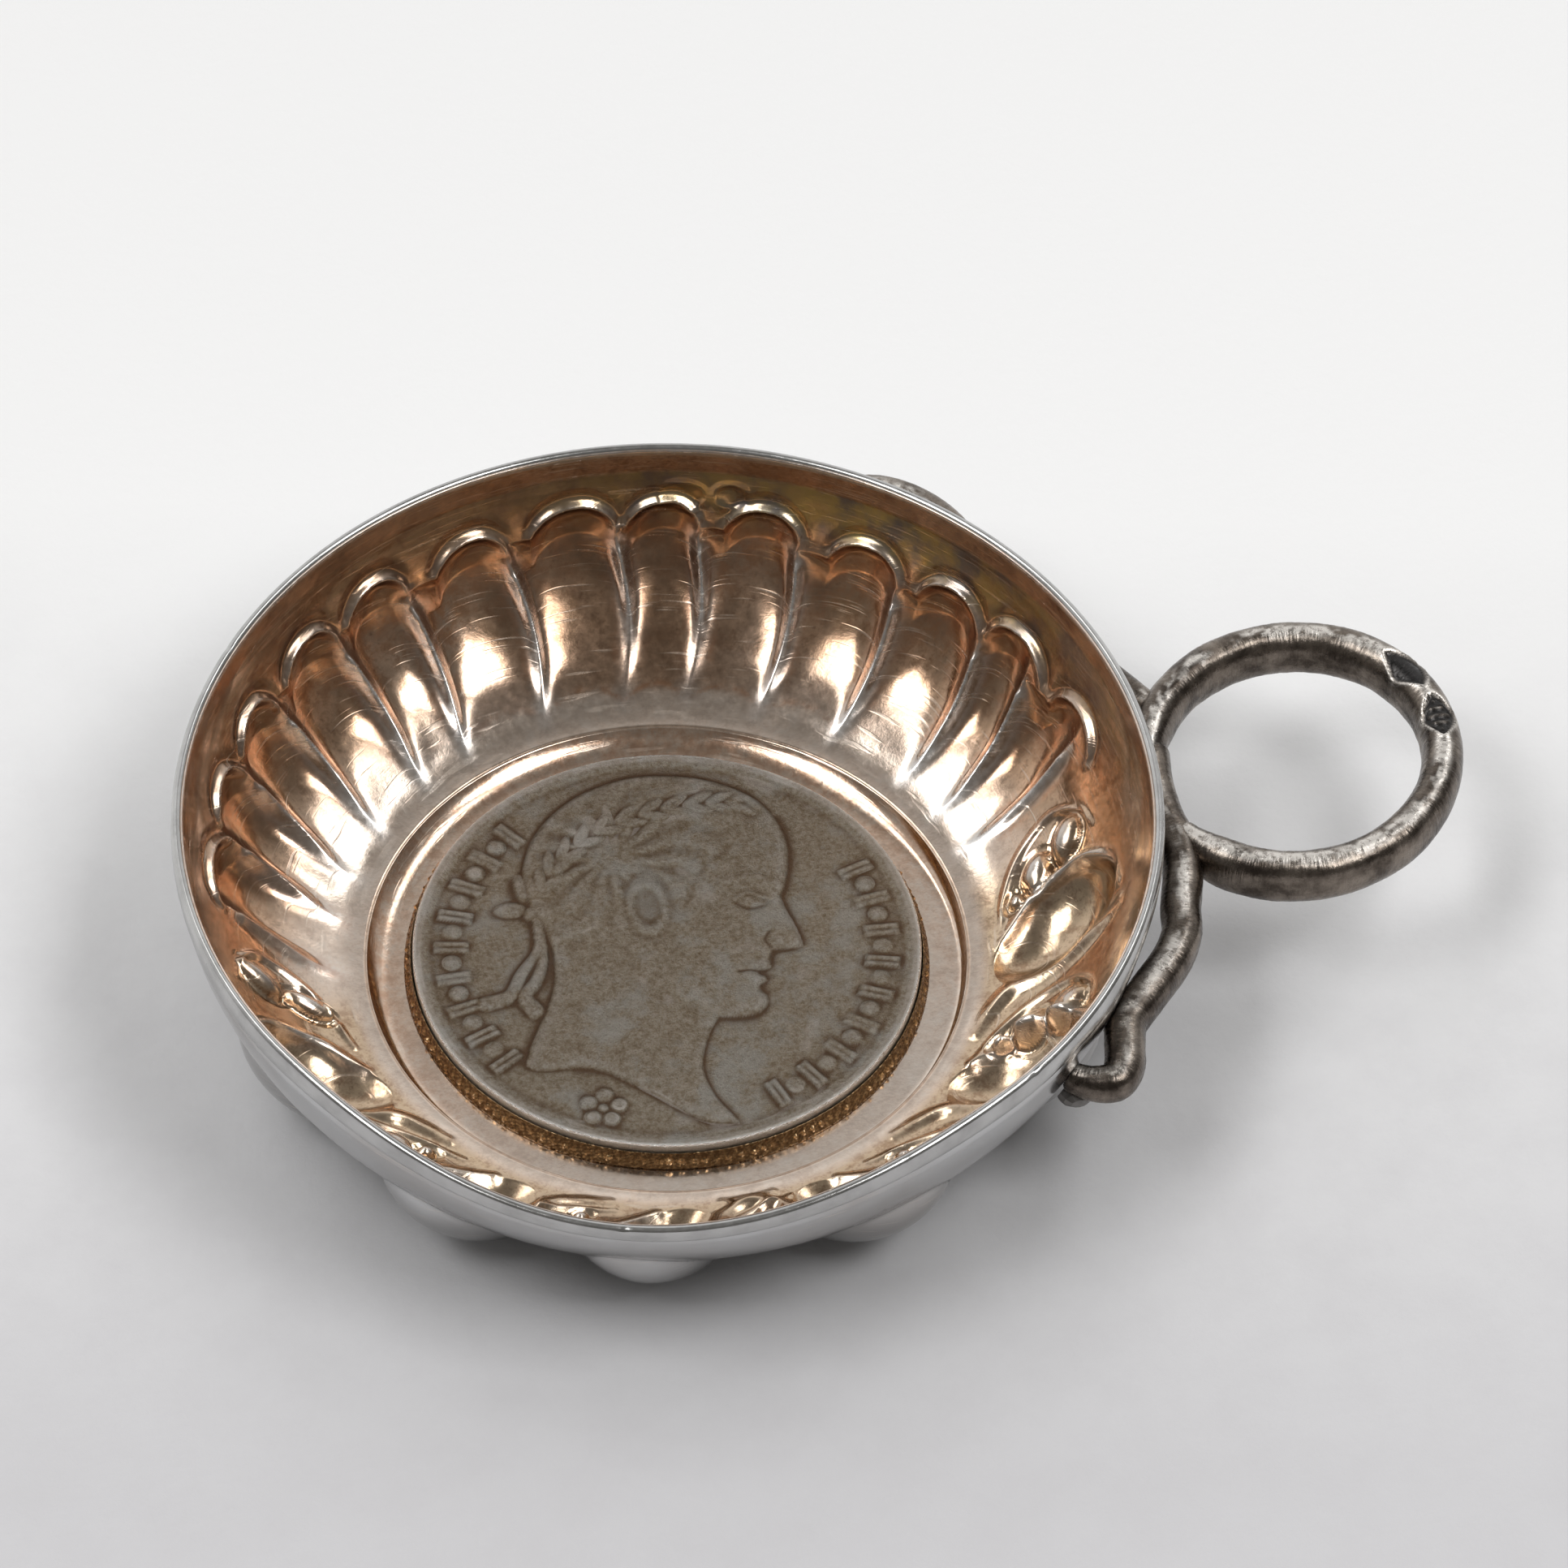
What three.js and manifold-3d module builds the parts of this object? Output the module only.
// A silver wine taster. A shallow embossed bowl, gilt inside, stands on a coin set in its base. A plain wire
// stiffens the rim. A forged serpent rod runs along the outside of the wall and coils into one thumb ring.
// Millimetres, z up. The origin is the middle of the coin's underside, and the thumb ring is toward +x.
import * as THREE from 'three';
import { mergeVertices } from 'three/addons/utils/BufferGeometryUtils.js';
import Module from 'manifold-3d';

const wasm = await Module();
wasm.setup();

// Coin and the collar that holds it
const COIN_RADIUS = 18.5;
const COIN_THICKNESS = 2.65;
const COIN_BORDER = 0.8;
const COIN_FIELD_DEPTH = 0.2;
const COLLAR_RADIUS = 19.15;
const COLLAR_HEIGHT = 1.35;
const COLLAR_HALF_WIDTH = 0.38;
const COIN_FACETS = 56;

// Sheet of the bowl: a flat channel round the coin, a ledge, then one curved wall
const SHEET = 0.65;
const HOLE_RADIUS = 18.75;
const CHANNEL_RADIUS = 20.8;
const LEDGE_RADIUS = 22.0;
const LEDGE_HEIGHT = 1.7;
const WALL_SPREAD = 12.85;
const WALL_RISE = 15.3;
const WALL_POWER = 0.9;
const WALL_END = 82.5;

// The raised wall leans a little, and its front is pushed out and down
const RIM_HEIGHT = 17.3;
const LEAN = { size: 0.9, azimuth: 75 };
const PUSH = { azimuth: -107, spread: 46, out: 1.6, down: 1.9 };

// Rim wire
const WIRE = { outerRadius: 35.6, width: 0.95, height: 2.05, corner: 0.35, columns: 80 };

// Flutes: azimuth of each ridge between two flutes, at the arch and at the foot, and wall angle of each arch
const RIDGES = [
  [11.5, 10.5], [23.5, 19.5], [32, 29.5], [45.5, 46], [59.5, 61], [72.5, 74.5], [83, 85.5],
  [97.5, 100], [112, 116], [123.5, 126], [136.5, 139.5], [147.5, 151.5], [158, 161], [168.5, 173.5],
];
const FLUTE = { foot: 4, footSag: 3, footRun: 26, top: 69, archSag: 9, archRun: 9, depth: 1.05, steps: 6 };
const RIB = { height: 0.28, run: 9 };
const ARCH_TOPS = [64.6, 67, 66.2, 67, 69.8, 70.2, 70.6, 68.2, 68.6, 67.4, 65.4, 63, 58.6];
const BOW = { from: 20, rate: 0.036, least: -0.4, most: 2.6 };

// Cupules and the pearl groups between them. They lean away from the front, which is at one azimuth.
const CUPULES = [-12.3, -40, -74, -105, -133.5, -165];
const CUPULE = { wallAngle: 31.5, halfWidth: 8.6, halfLength: 25.5, lean: 0.14, depth: 2 };
const PEARL_GROUPS = [-0.7, -31, -59, -91, -121, -149, -180];
const PEARLS = [
  { turn: 1.4, wallAngle: 39, halfWidth: 2.7, halfLength: 8, lean: 0.2, height: 0.9 },
  { turn: -0.4, wallAngle: 26, halfWidth: 2.6, halfLength: 7, lean: 0.2, height: 0.8 },
];
const FRONT = -90;
const PLAIN_STEP = 3.2;

// Handle: the ring is a little oval, widest at one azimuth
const HANDLE_HEIGHT = 11;
const RING = { x: 46.95, y: -0.2, radius: 10.88, oval: 0.35, wideAt: 40, halfWidth: 1.5, halfHeight: 2.05 };
const RING_RUN = { start: 176, end: -154, step: 15 };
const STRAP = { halfWidth: 1.32, halfHeight: 1.55 };
const NEAR_ARM = [
  [22.9, -24.7], [24.6, -25.9], [26.3, -26.1], [27.3, -24.8], [27.8, -23], [28.4, -21.2], [29.6, -19.9],
  [31.4, -18.1], [33.2, -16.2], [34.5, -14.1], [35, -11.9], [36, -8.9], [36.35, -6], [36.1, -3],
  [36.2, -0.2], [36.8, 3.2],
];
const FAR_ARM = [
  [38, 6.2], [36.7, 8.4], [35.5, 10.6], [34.4, 12.8], [33.2, 15], [31.7, 17.7], [30, 20.5], [29.2, 24],
  [27.4, 27.8], [24.9, 30.5], [22, 31.2], [20, 29.4], [19.7, 28.2],
];
const NEAR_TAIL = { size: 0.55, length: 0.3, atStart: true };
const FAR_TAIL = { size: 0.8, length: 0.2, atStart: false };
const SEAT_GAP = 0.3;

// Solder joints that carry the handle: middle and half sizes of each, tucked under the rod
const SOLDER = [
  { name: 'solder_fork', at: [37.3, 7.7, 9.5], size: [1.5, 1.5, 0.8] },
  { name: 'solder_near_arm', at: [28.7, -19.4, 9.1], size: [1.7, 1.7, 0.9] },
  { name: 'solder_near_foot', at: [23.6, -25.3, 9.7], size: [1.4, 1.3, 0.9] },
  { name: 'solder_far_arm', at: [30.7, 17.2, 9.1], size: [1.6, 1.8, 0.9] },
  { name: 'solder_far_foot', at: [20.1, 29, 9.2], size: [1.4, 1.4, 0.9] },
];

const silver = new THREE.MeshStandardMaterial({ color: 0x9a9896, roughness: 0.35, metalness: 1 });
const gilt = new THREE.MeshStandardMaterial({ color: 0xb98c66, roughness: 0.28, metalness: 1 });
const coinSilver = new THREE.MeshStandardMaterial({ color: 0x86807a, roughness: 0.5, metalness: 1 });
const darkSilver = new THREE.MeshStandardMaterial({ color: 0x5c5855, roughness: 0.4, metalness: 1 });
const solder = new THREE.MeshStandardMaterial({ color: 0x6d6965, roughness: 0.55, metalness: 1 });

const radians = THREE.MathUtils.degToRad;
const clamp = THREE.MathUtils.clamp;
const lerp = THREE.MathUtils.lerp;

// How far an azimuth is into the pushed front, from 0 to 1
function pushAt(azimuth) {
  const turn = THREE.MathUtils.euclideanModulo(azimuth - PUSH.azimuth + 180, 360) - 180;
  return Math.abs(turn) > PUSH.spread ? 0 : Math.cos((turn / PUSH.spread) * (Math.PI / 2)) ** 2;
}

// A point of the bowl or the rim, from its radius and height before the lean and the push
function place(radius, height, azimuth) {
  const rise = Math.max(height, 0) / RIM_HEIGHT;
  const push = pushAt(azimuth) * rise ** 2;
  const reach = radius + PUSH.out * push;
  return new THREE.Vector3(
    reach * Math.cos(radians(azimuth)) + LEAN.size * rise * Math.cos(radians(LEAN.azimuth)),
    reach * Math.sin(radians(azimuth)) + LEAN.size * rise * Math.sin(radians(LEAN.azimuth)),
    height - PUSH.down * push,
  );
}

// Inner profile of the wall and its outward normal, as radius and height, from the wall angle in degrees
function wallAt(angle) {
  const a = radians(Math.max(angle, 0.5));
  const lift = 1 - Math.cos(a);
  const dr = WALL_SPREAD * Math.cos(a);
  const dz = WALL_RISE * WALL_POWER * lift ** (WALL_POWER - 1) * Math.sin(a);
  const size = Math.hypot(dr, dz);
  return {
    radius: LEDGE_RADIUS + WALL_SPREAD * Math.sin(a),
    height: LEDGE_HEIGHT + WALL_RISE * lift ** WALL_POWER,
    normal: [dz / size, -dr / size],
  };
}

// Relief of one flute: a scoop between two ridges, fading in above its foot and arched at its top
function fluteRelief(across, archTop, wallAngle) {
  const side = 2 * across - 1;
  const top = archTop - FLUTE.archSag * side ** 2;
  const foot = FLUTE.foot + FLUTE.footSag * (1 - side ** 2);
  if (wallAngle <= foot || wallAngle >= top) return 0;
  const fadeIn = THREE.MathUtils.smoothstep(wallAngle, foot, foot + FLUTE.footRun);
  const arch = Math.sqrt(Math.min(1, (top - wallAngle) / FLUTE.archRun));
  return FLUTE.depth * (1 - side ** 2) * fadeIn * arch;
}

// Relief of the narrow rib that stands up between two flutes
function ribRelief(archTop, wallAngle) {
  const fromFoot = wallAngle - FLUTE.foot;
  const fromTop = archTop - FLUTE.archSag - wallAngle;
  return -RIB.height * clamp(Math.min(fromFoot, fromTop) / RIB.run, 0, 1);
}

// How far inside an oval boss a point is, 1 at its middle and 0 at its edge. Bosses lean away from the front
function insideBoss({ halfWidth, halfLength, lean }, middle, across, along) {
  const outward = Math.sign(middle - FRONT) * across - lean * along;
  return Math.max(0, 1 - (outward / halfWidth) ** 2 - (along / halfLength) ** 2);
}

// Relief of the plain half: six cupules outward, and two pearls inward in each group between them
function cupuleRelief(azimuth, wallAngle) {
  let relief = 0;
  for (const middle of CUPULES) {
    const inside = insideBoss(CUPULE, middle, azimuth - middle, wallAngle - CUPULE.wallAngle);
    relief += CUPULE.depth * inside ** 0.8;
  }
  for (const group of PEARL_GROUPS) {
    for (const pearl of PEARLS) {
      const middle = group + Math.sign(group - FRONT) * pearl.turn;
      const inside = insideBoss(pearl, middle, azimuth - middle, wallAngle - pearl.wallAngle);
      relief -= pearl.height * inside ** 0.6;
    }
  }
  return relief;
}

// How far a ridge bows back halfway up the wall, in degrees of azimuth
function bowOf(ridge) {
  return clamp((ridge[0] - BOW.from) * BOW.rate, BOW.least, BOW.most);
}

// Columns of the bowl's mesh: their azimuth at the arch and at the foot, and their relief along the wall
function bowlColumns() {
  const columns = [];
  for (let i = 0; i < RIDGES.length - 1; i++) {
    for (let k = 0; k < FLUTE.steps; k++) {
      const across = k / FLUTE.steps;
      columns.push({
        top: lerp(RIDGES[i][0], RIDGES[i + 1][0], across),
        foot: lerp(RIDGES[i][1], RIDGES[i + 1][1], across),
        bow: lerp(bowOf(RIDGES[i]), bowOf(RIDGES[i + 1]), across),
        relief: (angle) => {
          if (k === 0) return ribRelief(ARCH_TOPS[i], angle);
          return fluteRelief(across, ARCH_TOPS[i], angle);
        },
      });
    }
  }
  const last = RIDGES[RIDGES.length - 1];
  const first = RIDGES[0];
  const steps = Math.round((first[0] + 360 - last[0]) / PLAIN_STEP);
  const lastRib = (angle) => ribRelief(ARCH_TOPS[ARCH_TOPS.length - 1], angle);
  for (let k = 0; k < steps; k++) {
    columns.push({
      top: lerp(last[0], first[0] + 360, k / steps),
      foot: lerp(last[1], first[1] + 360, k / steps),
      bow: lerp(bowOf(last), bowOf(first), k / steps),
      relief: (angle, azimuth) => cupuleRelief(azimuth - 360, angle) + (k === 0 ? lastRib(angle) : 0),
    });
  }
  return columns;
}

// Azimuth of a column at a wall angle, with the bow of the ridges
function azimuthAt({ top, foot, bow }, angle) {
  const share = clamp(angle / FLUTE.top, 0, 1);
  return lerp(foot, top, share) - bow * Math.sin(Math.PI * share);
}

// The closed outline of the sheet in one column, going down the inside and back up the outside
function sheetOutline(column, grow) {
  const outline = [];
  const wallAngles = [WALL_END, 77, 70, 65, 59, 52, 44, 36, 28, 20, 12, 5, 0.5];
  const wallSide = (angle, offset) => {
    const { radius, height, normal } = wallAt(angle);
    const azimuth = azimuthAt(column, angle);
    const out = column.relief(angle, azimuth) + offset;
    return [radius + normal[0] * out, height + normal[1] * out, azimuth];
  };
  for (const angle of wallAngles) outline.push(wallSide(angle, 0));
  outline.push([LEDGE_RADIUS - 0.5, LEDGE_HEIGHT - 0.15, column.foot]);
  outline.push([CHANNEL_RADIUS, SHEET, column.foot]);
  outline.push([HOLE_RADIUS, SHEET, column.foot]);
  outline.push([HOLE_RADIUS, -grow, column.foot]);
  outline.push([CHANNEL_RADIUS + 0.3 + grow, -grow, column.foot]);
  for (const angle of wallAngles.slice().reverse()) outline.push(wallSide(angle, SHEET + grow));
  return outline;
}

// A ring of closed outlines joined into one closed body
function ringOfOutlines(outlines) {
  const rows = outlines[0].length;
  const positions = outlines.flat().flatMap((point) => point.toArray());
  const index = [];
  for (let c = 0; c < outlines.length; c++) {
    const next = (c + 1) % outlines.length;
    for (let r = 0; r < rows; r++) {
      const [a, b] = [c * rows + r, c * rows + ((r + 1) % rows)];
      const [d, e] = [next * rows + r, next * rows + ((r + 1) % rows)];
      index.push(a, d, b, b, d, e);
    }
  }
  return geometryFrom(positions, index);
}

function geometryFrom(positions, index) {
  const geometry = new THREE.BufferGeometry();
  geometry.setAttribute('position', new THREE.Float32BufferAttribute(positions, 3));
  geometry.setIndex(index);
  return geometry;
}

function bowlGeometry(grow = 0) {
  const outlines = bowlColumns().map((column) => sheetOutline(column, grow).map((point) => place(...point)));
  return ringOfOutlines(outlines);
}

// The rim wire: a rounded section carried round the rim, lean and push included
function rimWireGeometry() {
  const { outerRadius, width, height, corner } = WIRE;
  const section = [];
  const corners = [[-1, 1, 90], [-1, -1, 180], [1, -1, 270], [1, 1, 0]];
  for (const [sideways, upward, from] of corners) {
    for (let k = 0; k < 2; k++) {
      const a = radians(from + 15 + k * 60);
      section.push([
        outerRadius - width / 2 + sideways * (width / 2 - corner) + corner * Math.cos(a),
        RIM_HEIGHT - height / 2 + upward * (height / 2 - corner) + corner * Math.sin(a),
      ]);
    }
  }
  const outlines = [];
  for (let c = 0; c < WIRE.columns; c++) {
    outlines.push(section.map(([radius, z]) => place(radius, z, (c * 360) / WIRE.columns)));
  }
  return ringOfOutlines(outlines);
}

// A profile of radius and height turned about the upright axis
function turned(profile) {
  const points = profile.map(([radius, height]) => new THREE.Vector2(radius, height));
  return new THREE.LatheGeometry(points, COIN_FACETS).rotateX(Math.PI / 2);
}

// Crown size coin with a raised border on its upper face
function coinGeometry() {
  const bevel = 0.25;
  const field = COIN_THICKNESS - COIN_FIELD_DEPTH;
  const profile = [
    [0, 0], [COIN_RADIUS - bevel, 0], [COIN_RADIUS, bevel], [COIN_RADIUS, COIN_THICKNESS - bevel],
    [COIN_RADIUS - bevel, COIN_THICKNESS], [COIN_RADIUS - COIN_BORDER, COIN_THICKNESS],
    [COIN_RADIUS - COIN_BORDER - bevel, field], [0, field],
  ];
  return turned(profile);
}

// Collar wire round the coin, a little flatter where it lies on the channel floor
function collarGeometry() {
  const floor = SHEET + 0.08;
  const left = COLLAR_RADIUS - COLLAR_HALF_WIDTH;
  const right = COLLAR_RADIUS + COLLAR_HALF_WIDTH;
  const top = floor + COLLAR_HEIGHT;
  const profile = [
    [left, floor], [right, floor], [right + 0.1, floor + 0.45], [right - 0.15, top - 0.2],
    [left + 0.15, top], [left, top - 0.2], [left, floor],
  ];
  return turned(profile);
}

// A rod along points that lie at one height. Its half width and half height may change along it.
function rodGeometry(points, halfWidthAt, halfHeightAt, steps, sides = 10) {
  const curve = new THREE.CatmullRomCurve3(points, false, 'centripetal');
  const positions = [];
  const index = [];
  for (let i = 0; i <= steps; i++) {
    const t = i / steps;
    const middle = curve.getPointAt(t);
    const tangent = curve.getTangentAt(t);
    const across = new THREE.Vector3(tangent.y, -tangent.x, 0).normalize();
    for (let k = 0; k < sides; k++) {
      const a = (2 * Math.PI * (k + 0.5)) / sides;
      const point = middle.clone().addScaledVector(across, halfWidthAt(t) * Math.cos(a));
      point.z += halfHeightAt(t) * Math.sin(a);
      positions.push(...point.toArray());
    }
  }
  for (let i = 0; i < steps; i++) {
    for (let k = 0; k < sides; k++) {
      const next = (k + 1) % sides;
      const [a, b, c, d] = [i * sides + k, i * sides + next, (i + 1) * sides + k, (i + 1) * sides + next];
      index.push(a, c, b, b, c, d);
    }
  }
  const last = steps * sides;
  for (let k = 1; k < sides - 1; k++) {
    index.push(0, k, k + 1);
    index.push(last, last + k + 1, last + k);
  }
  return geometryFrom(positions, index);
}

function pathAtHandleHeight(points) {
  return points.map(([x, y]) => new THREE.Vector3(x, y, HANDLE_HEIGHT));
}

// Points round the thumb ring, clockwise from above, from where the strap joins it to its soldered end
function ringPoints() {
  const points = [];
  for (let azimuth = RING_RUN.start; azimuth >= RING_RUN.end; azimuth -= RING_RUN.step) {
    const a = radians(azimuth);
    const radius = RING.radius + RING.oval * Math.cos(2 * (a - radians(RING.wideAt)));
    points.push([RING.x + radius * Math.cos(a), RING.y + radius * Math.sin(a)]);
  }
  return points;
}

// Thickness along an arm: its tail tapers to a thin foot, and its other end is the full strap
function armSize(full, grow, tail) {
  return (t) => {
    const fromFoot = tail.atStart ? t : 1 - t;
    return full * lerp(tail.size, 1, THREE.MathUtils.smoothstep(fromFoot, 0, tail.length)) + grow;
  };
}

function nearArmGeometry(grow = 0) {
  const width = armSize(STRAP.halfWidth, grow, NEAR_TAIL);
  return rodGeometry(pathAtHandleHeight(NEAR_ARM), width, armSize(STRAP.halfHeight, grow, NEAR_TAIL), 34);
}

function thumbRingGeometry(grow = 0) {
  const path = pathAtHandleHeight(ringPoints());
  return rodGeometry(path, () => RING.halfWidth + grow, () => RING.halfHeight + grow, 40);
}

function farArmGeometry(grow = 0) {
  const width = armSize(STRAP.halfWidth, grow, FAR_TAIL);
  return rodGeometry(pathAtHandleHeight(FAR_ARM), width, armSize(STRAP.halfHeight, grow, FAR_TAIL), 30);
}

// Joins and cuts
function solidFrom(geometry) {
  const bare = geometry.clone();
  for (const name of Object.keys(bare.attributes)) if (name !== 'position') bare.deleteAttribute(name);
  const merged = mergeVertices(bare, 1e-5);
  const vertProperties = new Float32Array(merged.attributes.position.array);
  const triVerts = new Uint32Array(merged.index.array);
  return new wasm.Manifold(new wasm.Mesh({ numProp: 3, vertProperties, triVerts }));
}

function geometryOf(solid) {
  const mesh = solid.getMesh();
  return geometryFrom(Array.from(mesh.vertProperties), Array.from(mesh.triVerts));
}

// The main body that is left when a cut leaves crumbs beside it
function mainBody(solid) {
  return solid.decompose().reduce((best, body) => (body.volume() > best.volume() ? body : best));
}

function solderPad({ at, size }, neighbours) {
  const blob = solidFrom(new THREE.SphereGeometry(1, 12, 7).scale(...size).translate(...at));
  return geometryOf(mainBody(neighbours.reduce((pad, neighbour) => pad.subtract(neighbour), blob)));
}

const grownBowl = solidFrom(bowlGeometry(SEAT_GAP));
const rodWithRing = solidFrom(nearArmGeometry()).add(solidFrom(thumbRingGeometry()));
const handleSolid = mainBody(rodWithRing.subtract(grownBowl));
const grownHandle = solidFrom(nearArmGeometry(SEAT_GAP)).add(solidFrom(thumbRingGeometry(SEAT_GAP)));
const farArmSolid = mainBody(solidFrom(farArmGeometry()).subtract(grownHandle).subtract(grownBowl));
const grownFarArm = solidFrom(farArmGeometry(SEAT_GAP));

const taster = new THREE.Group();

function add(name, geometry, material) {
  const mesh = new THREE.Mesh(geometry, material);
  mesh.name = name;
  taster.add(mesh);
}

add('bowl', bowlGeometry(), gilt);
add('rim_wire', rimWireGeometry(), silver);
add('coin', coinGeometry(), coinSilver);
add('coin_collar', collarGeometry(), gilt);
add('serpent_handle', geometryOf(handleSolid), darkSilver);
add('far_arm', geometryOf(farArmSolid), darkSilver);
for (const joint of SOLDER) add(joint.name, solderPad(joint, [grownBowl, grownHandle, grownFarArm]), solder);

export default taster;
